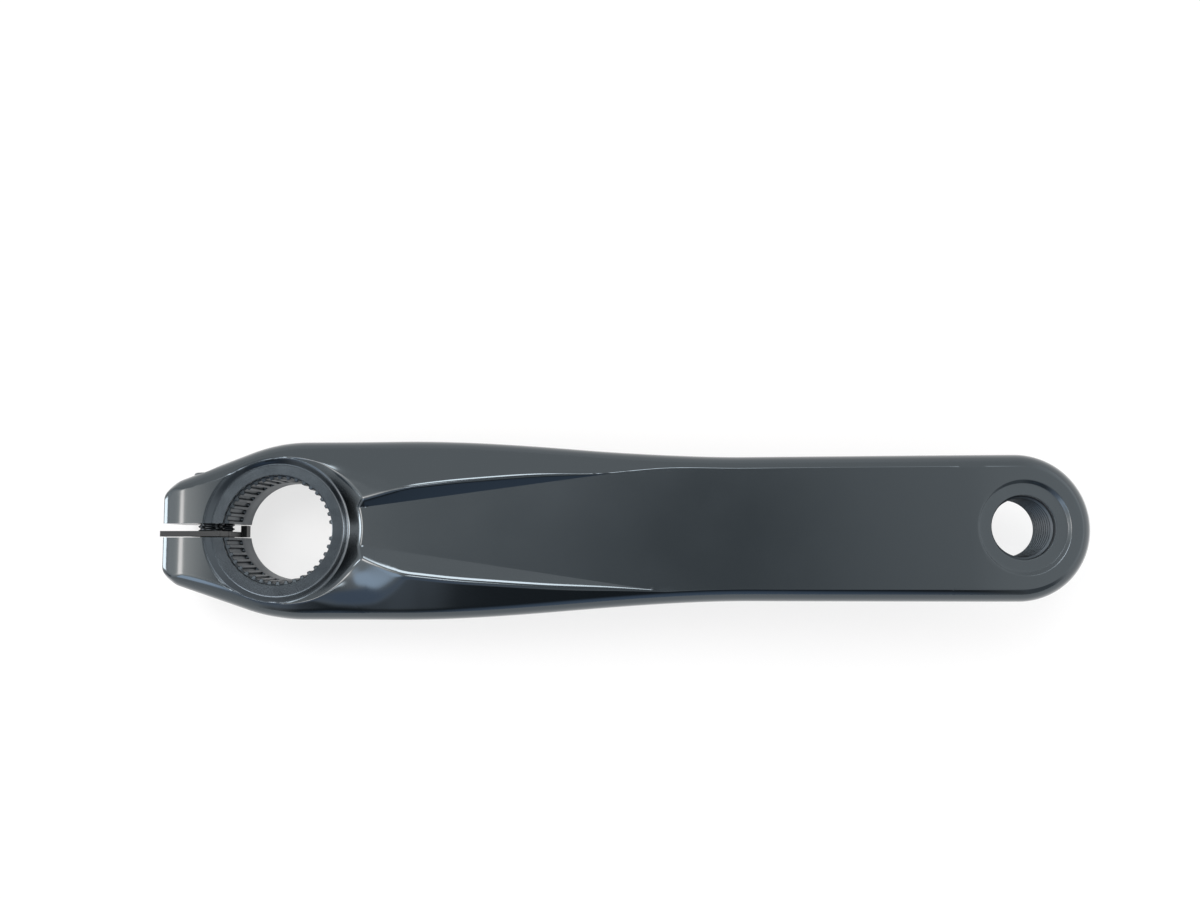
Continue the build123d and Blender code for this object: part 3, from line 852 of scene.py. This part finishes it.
def thread_wave(phase):
    """Height of a thread ridge over one turn, from 0 in the groove to 1 on the flat crest."""
    t = phase % 1.0
    return np.clip(1.5 * (1.0 - np.abs(2.0 * t - 1.0)) - 0.25, 0.0, 1.0)


def pedal_wall(s):
    """Pedal hole from its outer edge to its inner one. The rows follow a left-handed helix and are cut off
    at both ends, where the ridges fade; the last column meets the first one pitch lower."""
    columns, per_turn = 97, 8.0
    turn = np.linspace(0.0, 2 * pi, columns)
    high = s.pedal_face_z - s.pedal_chamfer
    low = s.pedal_seat_z + s.pedal_chamfer
    row = np.arange(per_turn * (high - low) / s.pedal_thread_pitch + 10.0)[:, None] / per_turn
    z = np.clip(high + s.pedal_thread_pitch * (1.0 - turn / (2 * pi) - row), low, high)
    fade = ease(z, low, low + 0.8) * (1.0 - ease(z, high - 1.6, high - 0.6))
    r = s.pedal_thread_r - s.pedal_thread_depth * thread_wave(row) * fade
    flat = 0 * turn[None]
    flare = flat + s.pedal_thread_r + s.pedal_chamfer
    z = np.concatenate([flat + s.pedal_face_z - 0.02, z, flat + s.pedal_seat_z + 0.02])
    r = np.concatenate([flare, r, flare])
    return np.stack([s.crank_length + r * np.cos(turn), r * np.sin(turn), z], axis=-1)


def turned_on_bolt(s, rows, z, toward, count):
    """Surface turned about a bolt's axis from rows of radius and height, which runs towards the head."""
    turn = np.linspace(0.0, 2 * pi, count, endpoint=False)
    radius = np.stack([r + 0 * turn for r, _ in rows])
    height = toward * np.array([h for _, h in rows])[:, None] + 0 * radius
    return np.stack([s.bolt_x + radius * np.cos(turn), height, z + radius * np.sin(turn)], axis=-1)


def bolt_grid(s, z, toward):
    """Bolt on one grid of turns by rows: socket floor, hexagon, head, shank, helical thread and tip."""
    count = 96
    turn = np.linspace(0.0, 2 * pi, count, endpoint=False)
    under = s.seat_y + s.washer_thickness
    top = under + s.head_height
    tip = under - s.bolt_length
    hexagon = s.socket_width / 2 / np.cos((turn + pi / 6) % (pi / 3) - pi / 6)
    floor = top - s.socket_depth
    start, end, row_height = under - 2.0, tip + 0.5, 0.125
    thread = np.arange(start, end, -row_height)
    fade = ease(thread, start, under - 3.0) * ease(thread, end, tip + 1.2)
    groove = 1.0 - thread_wave(thread[:, None] / s.bolt_pitch - turn / (2 * pi))
    rows = [
        (0.0, floor - 0.9),
        (0.9 * hexagon, floor - 0.05),
        (hexagon, floor),
        (hexagon, top - 0.25),
        (hexagon + 0.22, top),
        (s.head_r - 0.5, top),
        (s.head_r - 0.22, top - 0.1),
        (s.head_r - 0.06, top - 0.32),
        (s.head_r, top - 0.6),
        (s.head_r, under + 0.15),
        (s.head_r - 0.15, under),
        (s.bolt_r + 0.2, under),
        (s.bolt_r, under - 0.2),
        (s.bolt_r, under - 1.9),
        *[(s.bolt_r - s.bolt_thread_depth * f * g, h) for h, f, g in zip(thread, fade, groove)],
        (s.bolt_r - 0.6, tip + 0.05),
        (s.bolt_r - 0.75, tip),
        (0.0, tip),
    ]
    return turned_on_bolt(s, rows, z, toward, count)


def washer_grid(s, z, toward):
    """Washer: a closed profile with softened edges turned about the bolt."""
    low, high, soft = s.seat_y, s.seat_y + s.washer_thickness, 0.1
    rows = [
        (s.washer_hole_r + soft, low),
        (s.head_r - soft, low),
        (s.head_r, low + soft),
        (s.head_r, high - soft),
        (s.head_r - soft, high),
        (s.washer_hole_r + soft, high),
        (s.washer_hole_r, high - soft),
        (s.washer_hole_r, low + soft),
        (s.washer_hole_r + soft, low),
    ]
    return turned_on_bolt(s, rows, z, toward, 72)


def bolt_cutter(s, z, toward):
    """Counterbore, clearance hole and tapped hole of one bolt as a solid that reaches past both sides."""
    past = 30.0
    rows = [
        (0.0, -past),
        (s.tapped_hole_r, -past),
        (s.tapped_hole_r, 0.0),
        (s.shank_hole_r, 0.0),
        (s.shank_hole_r, s.seat_y),
        (s.counterbore_r, s.seat_y),
        (s.counterbore_r, past),
        (0.0, past),
    ]
    return welded("bolt_cutter", [patch(turned_on_bolt(s, rows, z, toward, 64), True, TURNED_BOSS)])


def slot_cutter(s):
    """Saw cut as a box from inside the bore to beyond the jaw end, its two ends closed to a point."""
    outside, inside, middle_z, half_height = -45.0, -6.0, 10.0, 30.0
    square = np.array([[-1, -1], [1, -1], [1, 1], [-1, 1]])
    y, z = square[:, 0] * s.slot_width / 2, square[:, 1] * half_height
    rows = [
        np.stack([0 * y + x, share * y, middle_z + share * z], axis=1)
        for x, share in ((outside, 0), (outside, 1), (inside, 1), (inside, 0))
    ]
    return welded("slot_cutter", [patch(np.stack(rows), True, TURNED_BOSS)])


def cut(piece, cutters, sharp):
    """Subtracts the cutters from the piece and leaves it one plain mesh."""
    for cutter in cutters:
        modifier = piece.modifiers.new("cut", "BOOLEAN")
        modifier.operation = "DIFFERENCE"
        modifier.solver = "MANIFOLD"
        modifier.object = cutter
    graph = bpy.context.evaluated_depsgraph_get()
    mesh = bpy.data.meshes.new_from_object(piece.evaluated_get(graph))
    piece.modifiers.clear()
    old = piece.data
    if len(mesh.polygons) == len(old.polygons):
        raise RuntimeError("The cutters left the piece as it was")
    piece.data = mesh
    bpy.data.meshes.remove(old)
    mesh.name = piece.name
    for cutter in cutters:
        bpy.data.objects.remove(cutter)
    finish_shading(mesh, sharp)


def add(tree, kind, inputs=None, **settings):
    """Adds a shader node, with its settings and each input given as a value or as a socket to link from."""
    made = tree.nodes.new("ShaderNode" + kind)
    for name, value in settings.items():
        setattr(made, name, value)
    for name, value in (inputs or {}).items():
        if isinstance(value, bpy.types.NodeSocket):
            tree.links.new(value, made.inputs[name])
        else:
            made.inputs[name].default_value = value
    return made


def blank_material(name):
    """Empty node material and its tree."""
    material = bpy.data.materials.new(name)
    material.use_nodes = True
    material.node_tree.nodes.clear()
    return material, material.node_tree


def metal(tree, place, base, cloud, detail, rough, **relief):
    """Metal whose roughness drifts between two values, in clouds of the given size in millimetres. A relief
    is given as the Normal it makes. The noise keeps mostly between 0.3 and 0.7."""
    low, high = rough
    clouds = add(tree, "TexNoise", {"Vector": place, "Scale": 1.0 / (cloud * MM), "Detail": detail})
    drift = add(
        tree,
        "MapRange",
        {"Value": clouds.outputs["Fac"], "From Min": 0.3, "From Max": 0.7, "To Min": low, "To Max": high},
    )
    shader = add(
        tree,
        "BsdfPrincipled",
        {"Base Color": base, "Metallic": 1.0, "Roughness": drift.outputs["Result"], **relief},
    )
    add(tree, "OutputMaterial", {"Surface": shader.outputs["BSDF"]})


def forged_finish(base):
    """Forged aluminium, polished and anodised gunmetal grey: a dark mirror with a faint haze, in which a
    fine grain breaks up the sharpest reflections."""
    material, tree = blank_material("gunmetal_anodised_aluminium")
    place = add(tree, "TexCoord").outputs["Object"]
    grain = add(tree, "TexNoise", {"Vector": place, "Scale": 1.0 / (0.35 * MM), "Detail": 2.0})
    relief = {"Height": grain.outputs["Fac"], "Strength": 0.02, "Distance": 0.1 * MM}
    bump = add(tree, "Bump", relief)
    metal(tree, place, base, cloud=14.0, detail=3.0, rough=(0.1, 0.14), Normal=bump.outputs["Normal"])
    return material


def turned_finish(name, base, center, rough):
    """Turned aluminium under the same anodising: duller, with the tool's rings round the hole's axis. The
    rings are 0.3 mm apart, coarser than a real feed, so that they show."""
    material, tree = blank_material(name)
    place = add(tree, "TexCoord").outputs["Object"]
    flat = {"Vector": place, "Location": (-center * MM, 0.0, 0.0), "Scale": (1.0, 1.0, 0.0)}
    moved = add(tree, "Mapping", flat)
    radius = add(tree, "VectorMath", {"Vector": moved.outputs["Vector"]}, operation="LENGTH")
    turns = {0: radius.outputs["Value"], 1: 2 * pi / (0.3 * MM)}
    ring = add(tree, "Math", turns, operation="MULTIPLY")
    wave = add(tree, "Math", {0: ring.outputs["Value"]}, operation="SINE")
    relief = {"Height": wave.outputs["Value"], "Strength": 0.12, "Distance": 0.01 * MM}
    bump = add(tree, "Bump", relief)
    metal(tree, place, base, cloud=5.0, detail=4.0, rough=rough, Normal=bump.outputs["Normal"])
    return material


def steel_finish(base):
    """Zinc-plated steel: a bright metal with a slightly cloudy plating."""
    material, tree = blank_material("zinc_plated_steel")
    place = add(tree, "TexCoord").outputs["Object"]
    metal(tree, place, base, cloud=2.0, detail=4.0, rough=(0.25, 0.42))
    return material


def lacquer_finish(base):
    """Black lacquer on sheet steel: a dark satin skin with a slight orange peel."""
    material, tree = blank_material("black_lacquered_steel")
    place = add(tree, "TexCoord").outputs["Object"]
    peel = add(tree, "TexNoise", {"Vector": place, "Scale": 1.0 / (0.6 * MM), "Detail": 2.0})
    relief = {"Height": peel.outputs["Fac"], "Strength": 0.15, "Distance": 0.05 * MM}
    bump = add(tree, "Bump", relief)
    shader = add(
        tree,
        "BsdfPrincipled",
        {
            "Base Color": base,
            "Roughness": 0.42,
            "Specular IOR Level": 0.35,
            "Normal": bump.outputs["Normal"],
        },
    )
    add(tree, "OutputMaterial", {"Surface": shader.outputs["BSDF"]})
    return material


class OBJECT_OT_crank_arm(Operator):
    """Builds the forged arm with its bore, spline, pedal thread, slot and bolt holes"""

    bl_idname = "object.crank_arm_build"
    bl_label = "Crank arm"

    def execute(self, context):
        scene = context.scene
        s = sizes(scene.crank_arm_sizes, scene.clamp_bolt_sizes)
        colours = scene.crank_arm_colours
        arm = welded("forged_arm", arm_patches(s))
        cutters = [bolt_cutter(s, s.outer_bolt_z, 1.0), bolt_cutter(s, s.inner_bolt_z, -1.0), slot_cutter(s)]
        finishes = {
            FORGED: forged_finish(colours.arm_grey),
            TURNED_BOSS: turned_finish("turned_anodised_boss", colours.turned_grey, 0.0, TURNED_ROUGH),
            TURNED_EYE: turned_finish("turned_anodised_eye", colours.arm_grey, s.crank_length, TURNED_ROUGH),
            BROACHED: turned_finish("broached_anodised_bore", colours.turned_grey, 0.0, BROACHED_ROUGH),
        }
        for number in sorted(finishes):
            arm.data.materials.append(finishes[number])
        cut(arm, cutters, ARM_SHARP)
        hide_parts("crank_arm")
        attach(arm, "arm")
        return {"FINISHED"}


class OBJECT_OT_clamp_bolts(Operator):
    """Builds both socket-head clamp bolts with their threads, and the washers under their heads"""

    bl_idname = "object.crank_clamp_bolts_build"
    bl_label = "Clamp bolts"

    def execute(self, context):
        scene = context.scene
        s = sizes(scene.clamp_bolt_sizes)
        steel = steel_finish(scene.crank_arm_colours.bolt_steel)
        for place, z, toward in (("outer", s.outer_bolt_z, 1.0), ("inner", s.inner_bolt_z, -1.0)):
            bolt = welded(f"{place}_socket_bolt", [patch(bolt_grid(s, z, toward), True)], BOLT_SHARP)
            washer = welded(f"{place}_plain_washer", [patch(washer_grid(s, z, toward), True)], BOLT_SHARP)
            for piece, node in ((bolt, f"{place}_clamp_bolt"), (washer, f"{place}_bolt_washer")):
                piece.data.materials.append(steel)
                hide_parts(node)
                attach(piece, "arm")
        return {"FINISHED"}


class OBJECT_OT_stopper_plate(Operator):
    """Dresses the stopper plate: its solid with merged faces and softened edges"""

    bl_idname = "object.crank_stopper_plate_build"
    bl_label = "Stopper plate"

    def execute(self, context):
        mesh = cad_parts["stopper_plate"].data.copy()
        work = bmesh.new()
        work.from_mesh(mesh)
        bmesh.ops.remove_doubles(work, verts=work.verts, dist=WELD)
        bmesh.ops.dissolve_limit(work, angle_limit=radians(1.0), verts=work.verts, edges=work.edges)
        work.to_mesh(mesh)
        work.free()
        plate = bpy.data.objects.new("safety_stopper", mesh)
        context.scene.collection.objects.link(plate)
        soften = plate.modifiers.new("soft_edges", "BEVEL")
        soften.width = 0.12 * MM
        soften.segments = 2
        soften.limit_method = "ANGLE"
        soften.angle_limit = radians(40.0)
        mesh.materials.clear()
        mesh.materials.append(lacquer_finish(context.scene.crank_arm_colours.plate_black))
        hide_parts("stopper_plate")
        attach(plate, "stopper")
        return {"FINISHED"}


class OBJECT_OT_studio_stage(Operator):
    """Sets the paper floor, the studio light and the camera"""

    bl_idname = "object.crank_studio_stage"
    bl_label = "Studio stage"

    def execute(self, context):
        scene = context.scene
        colours = scene.crank_arm_colours
        scene.view_settings.view_transform = "Standard"
        self.floor(scene, colours)
        self.light(scene, colours)
        self.camera(scene)
        return {"FINISHED"}

    def floor(self, scene, colours):
        """White paper: it keeps part of the part's shadow, and the eye and mirrors see it as near white."""
        mesh = bpy.data.meshes.new("paper_floor")
        reach = 3.0
        corners = [(-reach, -reach, 0.0), (reach, -reach, 0.0), (reach, reach, 0.0), (-reach, reach, 0.0)]
        mesh.from_pydata(corners, [], [(0, 1, 2, 3)])
        floor = bpy.data.objects.new("paper_floor", mesh)
        scene.collection.objects.link(floor)
        material, tree = blank_material("white_paper")
        path = add(tree, "LightPath")
        seen = add(
            tree,
            "Math",
            {0: path.outputs["Is Camera Ray"], 1: path.outputs["Is Glossy Ray"]},
            operation="MAXIMUM",
        )
        evenness = 0.75
        share = add(tree, "Math", {0: seen.outputs["Value"], 1: evenness}, operation="MULTIPLY")
        paper = add(tree, "BsdfDiffuse", {"Color": colours.floor_white})
        glow = add(tree, "Emission", {"Color": colours.floor_white, "Strength": 1.0})
        mix = add(
            tree,
            "MixShader",
            {0: share.outputs["Value"], 1: paper.outputs["BSDF"], 2: glow.outputs["Emission"]},
        )
        add(tree, "OutputMaterial", {"Surface": mix.outputs["Shader"]})
        mesh.materials.append(material)

    def light(self, scene, colours):
        """Studio seen in the metal: an even bright room in which soft-edged cards stand for lamps, a window
        and the dark screen behind the camera. The eye itself sees plain white around the paper."""
        world = bpy.data.worlds.new("soft_studio")
        scene.world = world
        world.use_nodes = True
        tree = world.node_tree
        tree.nodes.clear()
        look = add(tree, "TexCoord").outputs["Generated"]
        shade = add(tree, "RGB").outputs[0]
        shade.default_value = colours.room
        for (x, y), (wide, high), inner, code, gain in CARDS:
            spot = add(
                tree,
                "Mapping",
                {"Vector": look, "Location": (-x / wide, -y / high, 0.0), "Scale": (1 / wide, 1 / high, 0.0)},
            )
            away = add(tree, "VectorMath", {"Vector": spot.outputs["Vector"]}, operation="LENGTH")
            mask = add(
                tree,
                "MapRange",
                {"Value": away.outputs["Value"], "From Min": 1.0, "From Max": inner},
                interpolation_type="SMOOTHSTEP",
            )
            card = [gain * part for part in hex_linear(code)[:3]] + [1.0]
            mixed = add(
                tree,
                "Mix",
                {"Factor": mask.outputs["Result"], "A": shade, "B": card},
                data_type="RGBA",
            )
            shade = mixed.outputs["Result"]
        room = add(tree, "Background", {"Color": shade})
        plain = add(tree, "Background", {"Color": colours.backdrop_white})
        path = add(tree, "LightPath")
        mix = add(
            tree,
            "MixShader",
            {0: path.outputs["Is Camera Ray"], 1: room.outputs["Background"], 2: plain.outputs["Background"]},
        )
        add(tree, "OutputWorld", {"Surface": mix.outputs["Shader"]})

    def camera(self, scene):
        """Camera above the part, fitted to the photograph's bore and pedal hole."""
        data = bpy.data.cameras.new("camera")
        data.sensor_fit = "HORIZONTAL"
        data.sensor_width = 36.0
        data.lens = 34.647
        data.clip_start = 0.01
        camera = bpy.data.objects.new("camera", data)
        camera.location = (0.07687, -0.0053, 0.29294)
        camera.rotation_euler = (radians(5.082), radians(0.14), radians(-0.089))
        scene.collection.objects.link(camera)
        scene.camera = camera


class VIEW3D_PT_crank_arm(Panel):
    """Sidebar list of the pieces and their sizes"""

    bl_idname = "VIEW3D_PT_crank_arm"
    bl_label = "Crank arm"
    bl_space_type = "VIEW_3D"
    bl_region_type = "UI"
    bl_category = "Crank arm"

    def draw(self, context):
        column = self.layout.column()
        for operator in OPERATORS:
            column.operator(operator.bl_idname)
        for group in GROUPS:
            box = column.box()
            settings = getattr(context.scene, group)
            for name in settings.__annotations__:
                box.prop(settings, name)


GROUPS = {
    "crank_arm_sizes": CrankArmSizes,
    "clamp_bolt_sizes": ClampBoltSizes,
    "crank_arm_colours": FinishColours,
}
OPERATORS = (OBJECT_OT_crank_arm, OBJECT_OT_clamp_bolts, OBJECT_OT_stopper_plate, OBJECT_OT_studio_stage)
CLASSES = (*GROUPS.values(), *OPERATORS, VIEW3D_PT_crank_arm)


def register():
    for cls in CLASSES:
        bpy.utils.register_class(cls)
    for name, group in GROUPS.items():
        setattr(bpy.types.Scene, name, PointerProperty(type=group))


def unregister():
    for name in GROUPS:
        delattr(bpy.types.Scene, name)
    for cls in reversed(CLASSES):
        bpy.utils.unregister_class(cls)


def main():
    register()
    bpy.ops.object.crank_arm_build()
    bpy.ops.object.crank_clamp_bolts_build()
    bpy.ops.object.crank_stopper_plate_build()
    bpy.ops.object.crank_studio_stage()


if __name__ == "__main__":
    main()
